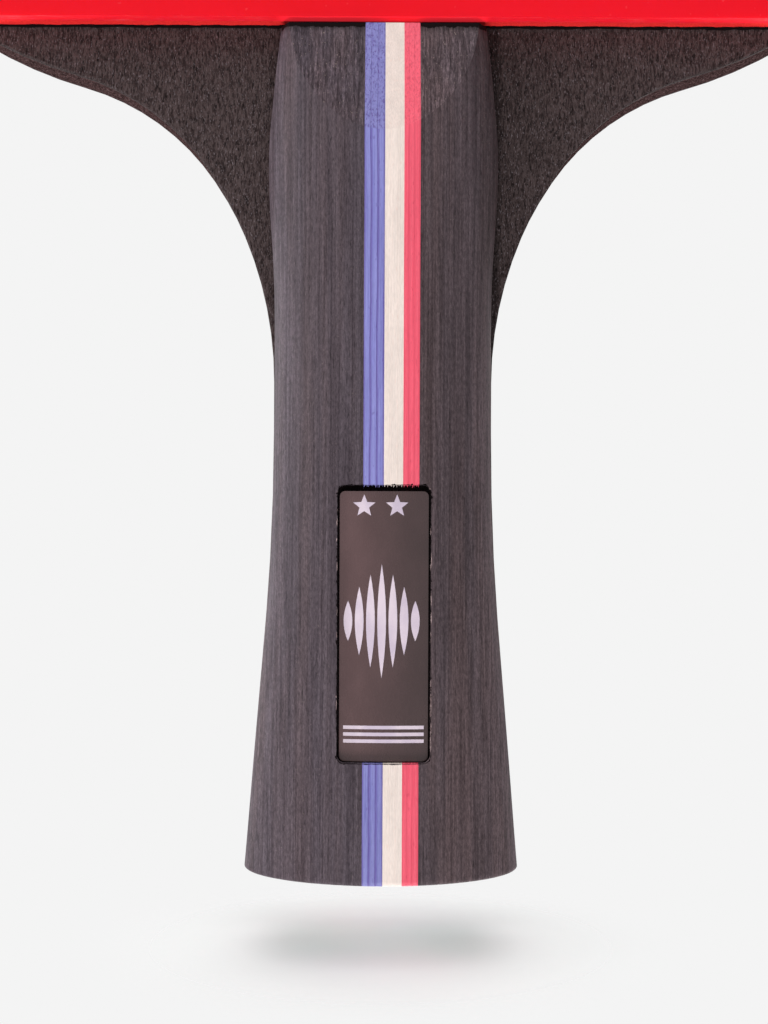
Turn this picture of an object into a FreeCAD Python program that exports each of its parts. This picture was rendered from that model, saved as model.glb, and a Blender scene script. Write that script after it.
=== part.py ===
import FreeCAD, Part
import math
import os

import Sketcher
from FreeCAD import Vector

# Table tennis bat with a flared shakehand grip, in millimetres.
# X runs across the handle, the front playing face looks along -Y, and +Z runs up the handle to the
# top of the head. The origin is the lowest point of the butt, on the handle's axis.

SIZES = [
    # The outline of the blade
    ("head_width", 150.0, "widest part of the head"),
    ("side_run", 36.2, "straight stretch of each side of the head"),
    ("corner_radius", 52.8, "lower corners of the head"),
    ("shoulder_radius", 28.8, "hollow of the shoulder under the head"),
    ("neck_radius", 44.6, "gentler hollow of the neck"),
    ("neck_rise", 25.2, "height of the neck's hollow"),
    ("neck_gap", 5.9, "waist left straight below the neck's hollow"),
    ("waist_width", 25.92, "narrowest part of the handle"),
    ("waist_height", 52.0, "height of the waist above the butt"),
    ("flare_spread", 3.2, "how much further out the butt is than the waist, each side"),
    ("flare_run", 29.3, "straight stretch of the flare above the butt"),
    ("butt_dome_radius", 800.0, "barely domed butt"),
    ("butt_rounding", 0.6, "rounding of the butt's edges"),
    # The seven plies of the blade
    ("core_ply", 2.2, "thickness of the core"),
    ("third_ply", 0.7, "thickness of the plies beside the core"),
    ("second_ply", 0.7, "thickness of the plies under the outer ones"),
    ("outer_ply", 0.5, "thickness of the outer plies"),
    ("edge_break", 0.25, "sanded edge of the outer plies"),
    # The rubbers and the edge tape
    ("rubber_gap", 0.74, "bare blade between the grips and the rubbers"),
    ("sponge", 2.0, "thickness of the sponge"),
    ("top_sheet", 1.8, "thickness of the top sheet"),
    ("tape_thickness", 0.4, "thickness of the edge tape"),
    ("tape_width", 10.0, "width of the edge tape across the edge"),
    ("tape_inset", 1.4, "start of the edge tape above the rubbers' lower edge"),
    # The plan of a grip
    ("waist_inset", 0.18, "how far a grip's waist stays inside the blade's edge, each side"),
    ("waist_run", 14.0, "straight waist of a grip"),
    ("swell_rise", 0.75, "how much further out the swell is than the waist, each side"),
    ("swell_run", 17.5, "height from the waist to the widest part of the swell"),
    ("swell_radius", 35.0, "turn over the widest part of the swell"),
    ("end_taper", 1.47, "how much the upper end draws in from the swell, each side"),
    ("end_run", 16.06, "height from the widest part of the swell to the upper end"),
    # The oval section of a grip
    ("grip_depth", 8.5, "crown of a grip above the blade"),
    ("butt_swell", 0.4, "how much higher the crown is at the butt"),
    ("side_allowance", 0.3, "how far the oval reaches past the plan on each side"),
    ("bevel_length", 13.6, "length of the thumb bevel along the crown"),
    ("bevel_end", 3.9, "thickness left at the upper end of the bevel"),
    # The stripe of stained veneers let into a grip
    ("stripe_left", 2.15, "left edge of the stripe, left of the axis"),
    ("blue_veneer", 0.78, "thickness of one blue veneer"),
    ("white_veneer", 0.73, "thickness of one white veneer"),
    ("red_veneer", 0.62, "thickness of one red veneer"),
    # The badge let into the front grip
    ("badge_width", 10.15, "width of the badge"),
    ("badge_length", 30.82, "length of the badge"),
    ("badge_foot", 14.05, "height of the badge's lower end"),
    ("badge_shift", 0.25, "how far the badge and its recess lie right of the axis"),
    ("badge_edge", 0.8, "thickness of the badge along its sides"),
    ("badge_crown_radius", 40.0, "curve of the badge's face"),
    ("badge_corner", 0.6, "rounding of the badge's corners"),
    ("badge_clearance", 0.24, "gap beside the badge in its recess"),
    ("badge_top_gap", 0.68, "gap above the badge in its recess"),
    ("badge_foot_gap", 0.15, "gap under the badge's lower end"),
    ("recess_floor", 6.6, "recess floor above the blade"),
]

VENEERS_PER_COLOUR = 3

# Distance in millimetres within which two points count as one when edges are chosen.
NEAR = 0.001

doc = FreeCAD.newDocument("table_tennis_bat")
sheet = doc.addObject("Spreadsheet::Sheet", "Dims")
for row, (alias, value, note) in enumerate(SIZES, start=1):
    sheet.set(f"A{row}", alias)
    sheet.set(f"B{row}", str(value))
    sheet.set(f"C{row}", note)
    sheet.setAlias(f"B{row}", alias)
doc.recompute()

# Sizes that follow from the driving ones.
HALF_HEAD = "Dims.head_width / 2"
HALF_WAIST = "Dims.waist_width / 2"
HALF_BUTT = f"({HALF_WAIST} + Dims.flare_spread)"
HALF_GRIP_WAIST = f"({HALF_WAIST} - Dims.waist_inset)"
HALF_SWELL = f"({HALF_GRIP_WAIST} + Dims.swell_rise)"
HALF_GRIP_END = f"({HALF_SWELL} - Dims.end_taper)"
NECK_START = "(Dims.waist_height + Dims.neck_gap)"
NECK_TOP = f"({NECK_START} + Dims.neck_rise)"
SWELL_START = "(Dims.waist_height + Dims.waist_run)"
SWELL_HEIGHT = f"({SWELL_START} + Dims.swell_run)"
GRIP_LENGTH = f"({SWELL_HEIGHT} + Dims.end_run)"
RUBBER_START = f"({GRIP_LENGTH} + Dims.rubber_gap)"
HALF_BLADE = "(Dims.core_ply / 2 + Dims.third_ply + Dims.second_ply + Dims.outer_ply)"
BUTT_DEPTH = "(Dims.grip_depth + Dims.butt_swell)"
CORNER = "grip_plan_outline.Constraints.corner_height / 1mm"
FLARE_TOP = "grip_plan_outline.Constraints.flare_top_height / 1mm"
FLARE_TOP_HALF = "grip_plan_outline.Constraints.flare_top_half / 1mm"


def size(expression):
    """Value in millimetres of an expression over the document."""
    value = sheet.evalExpression(expression)
    return float(getattr(value, "Value", value))


# Sketch helpers. A segment is its number in the sketch with the ends by which the outline enters
# and leaves it, because a sketch stores every arc anticlockwise.

def add_line(sketch, start, end):
    """Straight segment from start to end."""
    line = Part.LineSegment(Vector(*start, 0), Vector(*end, 0))
    return sketch.addGeometry(line, False), 1, 2


def add_arc(sketch, centre, radius, first, last):
    """Round segment walked from the angle first to the angle last, in radians."""
    circle = Part.Circle(Vector(*centre, 0), Vector(0, 0, 1), radius)
    arc = Part.ArcOfCircle(circle, min(first, last), max(first, last))
    number = sketch.addGeometry(arc, False)
    if first < last:
        return number, 1, 2
    return number, 2, 1


def fix(sketch, kind, *where):
    """Adds a geometric constraint."""
    sketch.addConstraint(Sketcher.Constraint(kind, *where))


def join(sketch, before, after, kind="Tangent"):
    """Joins the leaving end of one segment to the entering end of the next."""
    fix(sketch, kind, before[0], before[2], after[0], after[1])


def join_all(sketch, segments, kind="Tangent"):
    """Joins each segment to the next one."""
    for before, after in zip(segments, segments[1:]):
        join(sketch, before, after, kind)


def dimension(sketch, name, expression, kind, *where):
    """Adds a dimension bound to an expression over the sheet."""
    index = sketch.addConstraint(Sketcher.Constraint(kind, *where, size(expression)))
    sketch.renameConstraint(index, name)
    sketch.setExpression(f"Constraints.{name}", expression)


def measure(sketch, name, kind, value, *where):
    """Adds a dimension that only reports, for other sketches to read."""
    index = sketch.addConstraint(Sketcher.Constraint(kind, *where, value))
    sketch.renameConstraint(index, name)
    sketch.setDriving(index, False)


def plane_of(body, role):
    """The body's own origin plane of that role."""
    for feature in body.Origin.OriginFeatures:
        if feature.Role == role:
            return feature
    raise ValueError(role)


def new_body(label):
    """Empty body with its name in the tree and on file."""
    body = doc.addObject("PartDesign::Body", label)
    body.Label = label
    return body


def new_sketch(body, role, offset="0", name="outline"):
    """Sketch on one of the body's origin planes, moved along its normal by an expression."""
    sketch = body.newObject("Sketcher::SketchObject", f"{body.Name}_{name}")
    sketch.AttachmentSupport = [(plane_of(body, role), "")]
    sketch.MapMode = "FlatFace"
    sketch.setExpression(".AttachmentOffset.Base.z", offset)
    return sketch


def pad(body, sketch, thickness):
    """Pads a sketch by an expression."""
    feature = body.newObject("PartDesign::Pad", f"{body.Name}_pad")
    feature.Profile = sketch
    feature.setExpression("Length", thickness)
    return feature


def mirror_half(body, feature):
    """Mirrors the right half of a piece across the handle's axis."""
    mirrored = body.newObject("PartDesign::Mirrored", f"{body.Name}_halves")
    mirrored.Originals = [feature]
    mirrored.MirrorPlane = (plane_of(body, "YZ_Plane"), [""])
    body.Tip = mirrored
    doc.recompute()
    return mirrored


def round_edges(body, radius, chosen):
    """Fillets the edges of the body's tip that the test chosen accepts."""
    tip = body.Tip
    names = [f"Edge{i}" for i, edge in enumerate(tip.Shape.Edges, start=1) if chosen(edge)]
    fillet = body.newObject("PartDesign::Fillet", f"{body.Name}_fillet")
    fillet.Base = (tip, names)
    fillet.setExpression("Radius", radius)
    body.Tip = fillet
    doc.recompute()
    return fillet


def runs_along_y(edge):
    """True for a straight edge through the thickness."""
    start, end = edge.Vertexes[0].Point, edge.Vertexes[-1].Point
    return math.hypot(end.x - start.x, end.z - start.z) < NEAR < abs(end.y - start.y)


# Outlines. Each is the right half, walked anticlockwise from its foot.

def draw_flared_foot(sketch, half_waist):
    """Domed butt, straight flare and the arc that carries it into a waist of that half width."""
    half_butt = size(HALF_BUTT)
    waist = size("Dims.waist_height")
    dome = size("Dims.butt_dome_radius")
    run = size("Dims.flare_run")
    dome_turn = math.asin(half_butt / dome)
    corner_height = dome * (1 - math.cos(dome_turn))
    across = half_butt - size(half_waist)
    along = waist - corner_height
    sweep_radius = (across**2 + along**2 - run**2) / (2 * across)
    sweep_centre = (size(half_waist) + sweep_radius, waist)
    tilt = math.atan2(along, sweep_radius - across) - math.atan2(run, sweep_radius)
    flare_top = (
        sweep_centre[0] - sweep_radius * math.cos(tilt),
        sweep_centre[1] - sweep_radius * math.sin(tilt),
    )
    butt = add_arc(sketch, (0, dome), dome, -math.pi / 2, dome_turn - math.pi / 2)
    flare = add_line(sketch, (half_butt, corner_height), flare_top)
    sweep = add_arc(sketch, sweep_centre, sweep_radius, math.pi + tilt, math.pi)
    join(sketch, butt, flare, "Coincident")
    join(sketch, flare, sweep)
    fix(sketch, "PointOnObject", butt[0], 3, -2)
    fix(sketch, "Coincident", butt[0], 1, -1, 1)
    dimension(sketch, "butt_dome_radius", "Dims.butt_dome_radius", "Radius", butt[0])
    dimension(sketch, "half_butt", HALF_BUTT, "DistanceX", -1, 1, butt[0], 2)
    dimension(sketch, "flare_run", "Dims.flare_run", "Distance", flare[0])
    measure(sketch, "corner_height", "DistanceY", corner_height, -1, 1, butt[0], 2)
    measure(sketch, "flare_top_half", "DistanceX", flare_top[0], -1, 1, flare[0], 2)
    measure(sketch, "flare_top_height", "DistanceY", flare_top[1], -1, 1, flare[0], 2)
    return butt, sweep


def draw_waist(sketch, sweep, half_waist, top):
    """Straight waist above the flare, up to the height given by the expression top."""
    start = (size(half_waist), size("Dims.waist_height"))
    waist = add_line(sketch, start, (size(half_waist), size(top)))
    join(sketch, sweep, waist)
    fix(sketch, "Vertical", waist[0])
    dimension(sketch, "half_waist", half_waist, "DistanceX", -1, 1, waist[0], 1)
    dimension(sketch, "waist_height", "Dims.waist_height", "DistanceY", -1, 1, waist[0], 1)
    dimension(sketch, "waist_top", top, "DistanceY", -1, 1, waist[0], 2)
    return waist


def draw_head(sketch, centre, first_angle, offset="0", name="head"):
    """Lower corner, straight side and round top of the head, moved outwards by offset."""
    grown = size(offset)
    half_head = size(HALF_HEAD) + grown
    corner_radius = size("Dims.corner_radius") + grown
    top_centre = centre[1] + size("Dims.side_run")
    corner = add_arc(sketch, centre, corner_radius, first_angle, 0)
    side = add_line(sketch, (half_head, centre[1]), (half_head, top_centre))
    top = add_arc(sketch, (0, top_centre), half_head, 0, math.pi / 2)
    join_all(sketch, (corner, side, top))
    fix(sketch, "Vertical", side[0])
    fix(sketch, "PointOnObject", top[0], 3, -2)
    fix(sketch, "PointOnObject", top[0], 2, -2)
    dimension(sketch, f"{name}_corner", f"Dims.corner_radius + {offset}", "Radius", corner[0])
    dimension(sketch, f"{name}_side", "Dims.side_run", "Distance", side[0])
    dimension(sketch, f"{name}_top", f"{HALF_HEAD} + {offset}", "Radius", top[0])
    return corner, side, top


def draw_blade(sketch):
    """Whole blade: handle, hollow neck and shoulder, and the head."""
    neck_radius = size("Dims.neck_radius")
    shoulder_radius = size("Dims.shoulder_radius")
    corner_radius = size("Dims.corner_radius")
    neck_turn = math.asin(size("Dims.neck_rise") / neck_radius)
    neck_centre = (size(HALF_WAIST) + neck_radius, size(NECK_START))
    between = neck_radius - shoulder_radius
    shoulder_centre = (
        neck_centre[0] - between * math.cos(neck_turn),
        neck_centre[1] + between * math.sin(neck_turn),
    )
    corner_x = size(HALF_HEAD) - corner_radius
    inward = shoulder_centre[0] - corner_x
    upward = math.sqrt((shoulder_radius + corner_radius) ** 2 - inward**2)
    corner_centre = (corner_x, shoulder_centre[1] + upward)
    turn_over = math.atan2(upward, -inward)

    butt, sweep = draw_flared_foot(sketch, HALF_WAIST)
    waist = draw_waist(sketch, sweep, HALF_WAIST, NECK_START)
    neck = add_arc(sketch, neck_centre, neck_radius, math.pi, math.pi - neck_turn)
    shoulder = add_arc(sketch, shoulder_centre, shoulder_radius, math.pi - neck_turn, turn_over)
    corner, side, top = draw_head(sketch, corner_centre, turn_over - math.pi)
    axis = add_line(sketch, (0, corner_centre[1] + size(f"Dims.side_run + {HALF_HEAD}")), (0, 0))
    join_all(sketch, (waist, neck, shoulder, corner))
    join_all(sketch, (top, axis, butt), "Coincident")
    dimension(sketch, "neck_radius", "Dims.neck_radius", "Radius", neck[0])
    dimension(sketch, "neck_top", NECK_TOP, "DistanceY", -1, 1, neck[0], neck[2])
    dimension(sketch, "shoulder_radius", "Dims.shoulder_radius", "Radius", shoulder[0])
    measure(sketch, "head_height", "DistanceY", corner_centre[1], -1, 1, corner[0], 3)


HEAD_HEIGHT = "blade_core_outline.Constraints.head_height"


def foot_on_corner(height):
    """Centre of the head's lower corner, and the angle at which its arc passes that height."""
    centre = (size(f"{HALF_HEAD} - Dims.corner_radius"), size(HEAD_HEIGHT))
    return centre, math.asin((size(height) - centre[1]) / size("Dims.corner_radius"))


def draw_rubber(sketch):
    """The head alone, cut off square above the grip and trimmed to the blade all round."""
    centre, first_angle = foot_on_corner(RUBBER_START)
    corner, side, top = draw_head(sketch, centre, first_angle)
    start = size(RUBBER_START)
    start_half = centre[0] + size("Dims.corner_radius") * math.cos(first_angle)
    lower = add_line(sketch, (0, start), (start_half, start))
    axis = add_line(sketch, (0, centre[1] + size(f"Dims.side_run + {HALF_HEAD}")), (0, start))
    join_all(sketch, (top, axis, lower, corner), "Coincident")
    fix(sketch, "Horizontal", lower[0])
    dimension(sketch, "rubber_start", RUBBER_START, "DistanceY", -1, 1, lower[0], 1)
    dimension(sketch, "head_height", HEAD_HEIGHT, "DistanceY", -1, 1, corner[0], 3)


def draw_tape(sketch):
    """Thin band that follows the edge of the head from one lower corner to the other."""
    start = f"({RUBBER_START} + Dims.tape_inset)"
    centre, first_angle = foot_on_corner(start)
    inner = draw_head(sketch, centre, first_angle, name="inner")
    outer = draw_head(sketch, centre, first_angle, "Dims.tape_thickness", "outer")
    ends = []
    for radius in (size("Dims.corner_radius"), size("Dims.corner_radius + Dims.tape_thickness")):
        ends.append((
            centre[0] + radius * math.cos(first_angle),
            centre[1] + radius * math.sin(first_angle),
        ))
    crest = centre[1] + size(f"Dims.side_run + {HALF_HEAD}")
    lower = add_line(sketch, *ends)
    upper = add_line(sketch, (0, crest + size("Dims.tape_thickness")), (0, crest))
    join(sketch, lower, outer[0], "Coincident")
    join(sketch, outer[2], upper, "Coincident")
    fix(sketch, "Coincident", upper[0], 2, inner[2][0], inner[2][2])
    fix(sketch, "Coincident", lower[0], 1, inner[0][0], inner[0][1])
    fix(sketch, "Horizontal", outer[0][0], 3, inner[0][0], 3)
    fix(sketch, "PointOnObject", inner[0][0], 3, lower[0])
    dimension(sketch, "tape_start", start, "DistanceY", -1, 1, lower[0], 1)
    dimension(sketch, "head_height", HEAD_HEIGHT, "DistanceY", -1, 1, inner[0][0], 3)


def draw_grip(sketch):
    """Plan of a grip: just inside the blade up to the waist, then a swell and a drawn-in end."""
    half_waist = size(HALF_GRIP_WAIST)
    half_swell = size(HALF_SWELL)
    rise = size("Dims.swell_rise")
    run = size("Dims.swell_run")
    swell_height = size(SWELL_HEIGHT)
    ogee_radius = (rise**2 + run**2) / (4 * rise)
    ogee_turn = math.asin(run / (2 * ogee_radius))
    swell_radius = size("Dims.swell_radius")
    inward = swell_radius - size("Dims.end_taper")
    end_run = size("Dims.end_run")
    swell_turn = math.atan2(end_run, inward) - math.acos(swell_radius / math.hypot(inward, end_run))
    grip_length = size(GRIP_LENGTH)
    hollow_centre = (half_waist + ogee_radius, size(SWELL_START))
    crest_centre = (half_swell - swell_radius, swell_height)
    crest_end = (
        crest_centre[0] + swell_radius * math.cos(swell_turn),
        crest_centre[1] + swell_radius * math.sin(swell_turn),
    )
    end_corner = (size(HALF_GRIP_END), grip_length)

    butt, sweep = draw_flared_foot(sketch, HALF_GRIP_WAIST)
    waist = draw_waist(sketch, sweep, HALF_GRIP_WAIST, SWELL_START)
    hollow = add_arc(sketch, hollow_centre, ogee_radius, math.pi, math.pi - ogee_turn)
    swell = add_arc(sketch, (half_swell - ogee_radius, swell_height), ogee_radius, -ogee_turn, 0)
    crest = add_arc(sketch, crest_centre, swell_radius, 0, swell_turn)
    draw_in = add_line(sketch, crest_end, end_corner)
    end = add_line(sketch, end_corner, (0, grip_length))
    axis = add_line(sketch, (0, grip_length), (0, 0))
    join_all(sketch, (waist, hollow, swell, crest, draw_in))
    join_all(sketch, (draw_in, end, axis, butt), "Coincident")
    fix(sketch, "Horizontal", end[0])
    fix(sketch, "Vertical", axis[0])
    fix(sketch, "Equal", hollow[0], swell[0])
    fix(sketch, "Horizontal", swell[0], 3, swell[0], swell[2])
    dimension(sketch, "swell_radius", "Dims.swell_radius", "Radius", crest[0])
    dimension(sketch, "half_swell", HALF_SWELL, "DistanceX", -1, 1, swell[0], swell[2])
    dimension(sketch, "swell_height", SWELL_HEIGHT, "DistanceY", -1, 1, swell[0], swell[2])
    dimension(sketch, "half_end", HALF_GRIP_END, "DistanceX", -1, 1, end[0], 1)
    dimension(sketch, "grip_length", GRIP_LENGTH, "DistanceY", -1, 1, end[0], 1)


# The blade: seven plies of one outline, laid up from the core outwards.

def make_sheet(label, draw, depth, thickness, behind):
    """Flat sheet whose inner face lies at depth from the middle of the blade."""
    body = new_body(label)
    offset = f"-({depth} + {thickness})" if behind else depth
    sketch = new_sketch(body, "XZ_Plane", offset)
    draw(sketch)
    mirror_half(body, pad(body, sketch, thickness))
    return body


def make_ply(label, depth, thickness, behind):
    """Ply of the blade, with the corners of its butt rounded."""
    body = make_sheet(label, draw_blade, depth, thickness, behind)
    corner_height = size(f"{label}_outline.Constraints.corner_height")

    def at_butt_corner(edge):
        return runs_along_y(edge) and abs(edge.Vertexes[0].Point.z - corner_height) < NEAR

    round_edges(body, "Dims.butt_rounding", at_butt_corner)
    return body


def break_outer_edge(body):
    """Rounds over the edge of the ply's outward face all the way round."""
    box = body.Shape.BoundBox
    outward = box.YMin if box.Center.y < 0 else box.YMax

    def on_outward_face(edge):
        return all(abs(vertex.Point.y - outward) < NEAR for vertex in edge.Vertexes)

    round_edges(body, "Dims.edge_break", on_outward_face)


# The grips: one oval, flared and bevelled form, sawn into its laminations.

def oval_section(body, index, height, half_width, depth):
    """Oval section of the grip at a height, centred on the blade's front face."""
    sketch = new_sketch(body, "XY_Plane", height, f"section_{index}")
    front = -size(HALF_BLADE)
    centre = Vector(0, front, 0)
    side = Vector(size(half_width), front, 0)
    crown = Vector(0, front + size(depth), 0)
    oval = sketch.addGeometry(Part.Ellipse(side, crown, centre), False)
    sketch.exposeInternalGeometry(oval)
    fix(sketch, "PointOnObject", oval, 3, -2)
    fix(sketch, "Horizontal", oval + 1)
    dimension(sketch, "blade_face", HALF_BLADE, "DistanceY", oval, 3, -1, 1)
    dimension(sketch, "width", f"2 * {half_width}", "Distance", oval + 1)
    dimension(sketch, "depth", f"2 * {depth}", "Distance", oval + 2)
    return sketch


def grip_stations():
    """Height, half width and crown of the grip where its oval section is set, from the butt up."""
    # Shares of the flare's length: just below the butt's corner, half way up and at its top.
    for share in (-0.1, 0.5, 1.0):
        height = f"({CORNER} + {share} * ({FLARE_TOP} - {CORNER}))"
        half_width = f"({HALF_BUTT} + {share} * ({FLARE_TOP_HALF} - {HALF_BUTT}))"
        yield height, half_width, f"({BUTT_DEPTH} - {share} * Dims.butt_swell)"
    sweep_middle = f"({FLARE_TOP} + Dims.waist_height) / 2"
    swell_middle = f"({SWELL_START} + {SWELL_HEIGHT}) / 2"
    yield sweep_middle, f"(3 * {HALF_GRIP_WAIST} + {FLARE_TOP_HALF}) / 4", "Dims.grip_depth"
    yield "Dims.waist_height", HALF_GRIP_WAIST, "Dims.grip_depth"
    yield SWELL_START, HALF_GRIP_WAIST, "Dims.grip_depth"
    yield swell_middle, f"({HALF_GRIP_WAIST} + {HALF_SWELL}) / 2", "Dims.grip_depth"
    yield SWELL_HEIGHT, HALF_SWELL, "Dims.grip_depth"
    yield f"{GRIP_LENGTH} + Dims.side_allowance", HALF_GRIP_END, "Dims.grip_depth"


def make_grip_form():
    """The front grip in one piece, before the laminations are told apart."""
    plan = new_body("grip_plan")
    plan_sketch = new_sketch(plan, "XZ_Plane", HALF_BLADE)
    draw_grip(plan_sketch)
    mirror_half(plan, pad(plan, plan_sketch, f"{BUTT_DEPTH} + Dims.side_allowance"))

    oval = new_body("grip_oval")
    sections = []
    for index, (height, half_width, depth) in enumerate(grip_stations()):
        half_width = f"({half_width} + Dims.side_allowance)"
        sections.append(oval_section(oval, index, height, half_width, depth))
    loft = oval.newObject("PartDesign::AdditiveLoft", "grip_oval_loft")
    loft.Profile = sections[0]
    loft.Sections = sections[1:]
    oval.Tip = loft
    doc.recompute()

    blank = doc.addObject("Part::Common", "grip_blank")
    blank.Base = plan
    blank.Tool = oval
    doc.recompute()

    form = new_body("grip_form")
    form.BaseFeature = blank
    doc.recompute()
    cut_bevel(form)
    blade_face = -size(HALF_BLADE)
    corner_height = size(CORNER)

    def round_the_butt(edge):
        ends = [vertex.Point for vertex in edge.Vertexes]
        on_blade = all(abs(point.y - blade_face) < NEAR for point in ends)
        return not on_blade and all(point.z < corner_height + NEAR for point in ends)

    round_edges(form, "Dims.butt_rounding", round_the_butt)
    return form


def cut_bevel(form):
    """Cuts the sloping thumb bevel from the upper end of the form."""
    sketch = new_sketch(form, "YZ_Plane", name="bevel")
    drop = "2 * Dims.bevel_length"
    reach = "2 * (Dims.grip_depth - Dims.bevel_end)"
    end_face = f"{HALF_BLADE} + Dims.bevel_end"
    top = size(GRIP_LENGTH)
    lip = (-size(end_face), top)
    outside = (-size(end_face) - size(reach), top)
    below = (outside[0], top - size(drop))
    slope = add_line(sketch, lip, below)
    wall = add_line(sketch, below, outside)
    roof = add_line(sketch, outside, lip)
    join_all(sketch, (slope, wall, roof, slope), "Coincident")
    fix(sketch, "Vertical", wall[0])
    fix(sketch, "Horizontal", roof[0])
    dimension(sketch, "grip_length", GRIP_LENGTH, "DistanceY", -1, 1, roof[0], 2)
    dimension(sketch, "end_face", end_face, "DistanceX", roof[0], 2, -1, 1)
    dimension(sketch, "drop", drop, "DistanceY", wall[0], 1, wall[0], 2)
    dimension(sketch, "reach", reach, "DistanceX", roof[0], 1, roof[0], 2)
    bevel = form.newObject("PartDesign::Pocket", "grip_form_bevel")
    bevel.Profile = sketch
    bevel.Type = "ThroughAll"
    bevel.Midplane = True
    form.Tip = bevel
    doc.recompute()


def laminations():
    """Name, left edge and thickness of each lamination of a grip, from left to right."""
    outside = f"({HALF_BUTT} + Dims.side_allowance)"
    yield "left_block", f"-{outside}", f"({outside} - Dims.stripe_left)"
    left = "-Dims.stripe_left"
    for colour in ("blue", "white", "red"):
        thickness = f"Dims.{colour}_veneer"
        for number in range(1, VENEERS_PER_COLOUR + 1):
            yield f"{colour}_veneer_{number}", left, thickness
            left += f" + {thickness}"
    yield "right_block", left, outside


def saw_lamination(label, form, left, thickness):
    """Slice of a grip form between two planes along the handle."""
    reach = f"({HALF_BLADE} + {BUTT_DEPTH} + Dims.side_allowance)"
    slab = doc.addObject("Part::Box", f"{label}_slab")
    slab.setExpression("Length", thickness)
    slab.setExpression("Width", f"2 * {reach}")
    slab.setExpression("Height", f"{GRIP_LENGTH} + 2 * Dims.side_allowance")
    slab.setExpression("Placement.Base.x", left)
    slab.setExpression("Placement.Base.y", f"-{reach}")
    slab.setExpression("Placement.Base.z", "-Dims.side_allowance")
    lamination = doc.addObject("Part::Common", label)
    lamination.Base = form
    lamination.Tool = slab
    return lamination


# The badge and its recess in the front grip.

def make_recess():
    """Round-cornered pocket that the badge lies in, as a solid to cut away."""
    body = new_body("badge_recess")
    sketch = new_sketch(body, "XZ_Plane", f"{HALF_BLADE} + Dims.recess_floor")
    half_width = "Dims.badge_width / 2 + Dims.badge_clearance"
    foot = "Dims.badge_foot - Dims.badge_foot_gap"
    length = "Dims.badge_foot_gap + Dims.badge_length + Dims.badge_top_gap"
    right, low = size(half_width), size(foot)
    high = low + size(length)
    lower = add_line(sketch, (0, low), (right, low))
    side = add_line(sketch, (right, low), (right, high))
    upper = add_line(sketch, (right, high), (0, high))
    axis = add_line(sketch, (0, high), (0, low))
    join_all(sketch, (lower, side, upper, axis, lower), "Coincident")
    fix(sketch, "Horizontal", lower[0])
    fix(sketch, "Vertical", side[0])
    fix(sketch, "Horizontal", upper[0])
    fix(sketch, "PointOnObject", lower[0], 1, -2)
    fix(sketch, "PointOnObject", upper[0], 2, -2)
    dimension(sketch, "half_width", half_width, "Distance", lower[0])
    dimension(sketch, "foot", foot, "DistanceY", -1, 1, lower[0], 1)
    dimension(sketch, "length", length, "Distance", side[0])
    mirror_half(body, pad(body, sketch, BUTT_DEPTH))
    round_edges(body, "Dims.badge_corner + Dims.badge_clearance", runs_along_y)
    body.setExpression(".Placement.Base.x", "Dims.badge_shift")
    return body


def make_badge():
    """Plain plate with a gently crowned face, lying on the floor of the recess."""
    body = new_body("badge_plate")
    sketch = new_sketch(body, "XY_Plane", "Dims.badge_foot")
    seat = f"{HALF_BLADE} + Dims.recess_floor"
    half_width = size("Dims.badge_width / 2")
    crown = size("Dims.badge_crown_radius")
    turn = math.asin(half_width / crown)
    back = -size(seat)
    edge = back - size("Dims.badge_edge")
    centre = (0, edge + crown * math.cos(turn))
    face = add_arc(sketch, centre, crown, -math.pi / 2, turn - math.pi / 2)
    side = add_line(sketch, (half_width, edge), (half_width, back))
    rear = add_line(sketch, (half_width, back), (0, back))
    axis = add_line(sketch, (0, back), (0, centre[1] - crown))
    join_all(sketch, (face, side, rear, axis, face), "Coincident")
    fix(sketch, "Vertical", side[0])
    fix(sketch, "Horizontal", rear[0])
    fix(sketch, "PointOnObject", rear[0], 2, -2)
    fix(sketch, "PointOnObject", face[0], 1, -2)
    fix(sketch, "PointOnObject", face[0], 3, -2)
    dimension(sketch, "seat", seat, "DistanceY", rear[0], 2, -1, 1)
    dimension(sketch, "half_width", "Dims.badge_width / 2", "Distance", rear[0])
    dimension(sketch, "edge", "Dims.badge_edge", "Distance", side[0])
    dimension(sketch, "crown_radius", "Dims.badge_crown_radius", "Radius", face[0])
    mirror_half(body, pad(body, sketch, "Dims.badge_length"))
    round_edges(body, "Dims.badge_corner", runs_along_y)
    body.setExpression(".Placement.Base.x", "Dims.badge_shift")
    return body


# The blade's seven plies, the rubbers on both faces and the edge tape.
pieces = [make_ply("blade_core", "-Dims.core_ply / 2", "Dims.core_ply", False)]
for face, behind in (("front", False), ("back", True)):
    depth = "Dims.core_ply / 2"
    for layer in ("third_ply", "second_ply", "outer_ply"):
        ply = make_ply(f"{face}_{layer}", depth, f"Dims.{layer}", behind)
        depth += f" + Dims.{layer}"
        pieces.append(ply)
    break_outer_edge(ply)
    for layer in ("sponge", "top_sheet"):
        pieces.append(make_sheet(f"{face}_{layer}", draw_rubber, depth, f"Dims.{layer}", behind))
        depth += f" + Dims.{layer}"
pieces.append(make_sheet("edge_tape", draw_tape, "-Dims.tape_width / 2", "Dims.tape_width", False))

# The two grips are alike, so the stripe of the back one runs the other way across the handle.
front_form = make_grip_form()
back_form = doc.addObject("Part::Mirroring", "back_grip_form")
back_form.Source = front_form
back_form.Normal = (0, 1, 0)
recess = make_recess()
doc.recompute()
for name, left, thickness in laminations():
    piece = doc.addObject("Part::Cut", f"front_grip_{name}")
    piece.Base = saw_lamination(f"front_{name}_blank", front_form, left, thickness)
    piece.Tool = recess
    pieces.append(piece)
    pieces.append(saw_lamination(f"back_grip_{name}", back_form, f"-({left} + {thickness})", thickness))
pieces.append(make_badge())
doc.recompute()

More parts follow.
